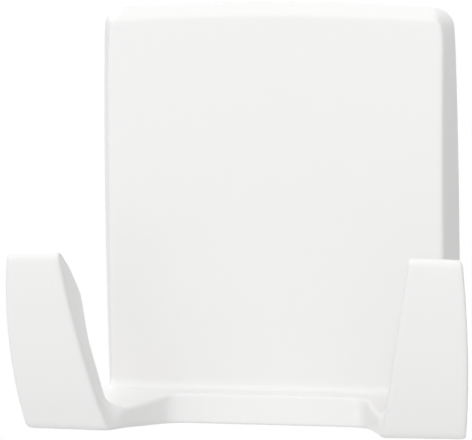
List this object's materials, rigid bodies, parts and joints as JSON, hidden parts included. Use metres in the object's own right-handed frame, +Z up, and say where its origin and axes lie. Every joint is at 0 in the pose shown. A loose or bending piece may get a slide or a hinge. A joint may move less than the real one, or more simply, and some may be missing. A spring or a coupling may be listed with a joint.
{
  "type": "adhesive wall hook",
  "caption": "White moulded wall hook with splayed, upturned prongs, which slides down over a flat wall plate held by stretch-release adhesive strips.",
  "frame": {"origin": "on the wall, at the middle of the strips' sticky length and midway between the two strips", "axes": "+Y into the wall, so the hook stands towards -Y; +Z up; +X to the right as seen from the room"},
  "size_m": [0.078, 0.0295, 0.0696],
  "materials": {
    "cover_plastic": "injection-moulded, satin gloss white",
    "plate_plastic": "injection-moulded, fine matte white",
    "strip_foam": "soft white elastic foam",
    "adhesive_film": "tacky, milky white",
    "tab_film": "smooth, slightly translucent film"
  },
  "bodies": {
    "wall_plate": {"wall_plate": "plate_plastic", "strip_core_left": "strip_foam", "strip_core_right": "strip_foam", "wall_adhesive_left": "adhesive_film", "wall_adhesive_right": "adhesive_film", "plate_adhesive_left": "adhesive_film", "plate_adhesive_right": "adhesive_film", "pull_tab_left": "tab_film", "pull_tab_right": "tab_film"},
    "hook_cover": {"hook_cover": "cover_plastic"}
  },
  "joints": [
    {"name": "cover_slide", "type": "slide", "parent": "wall_plate", "child": "hook_cover", "axis": [0, 0, 1], "range_m": [0, 0.036]}
  ]
}
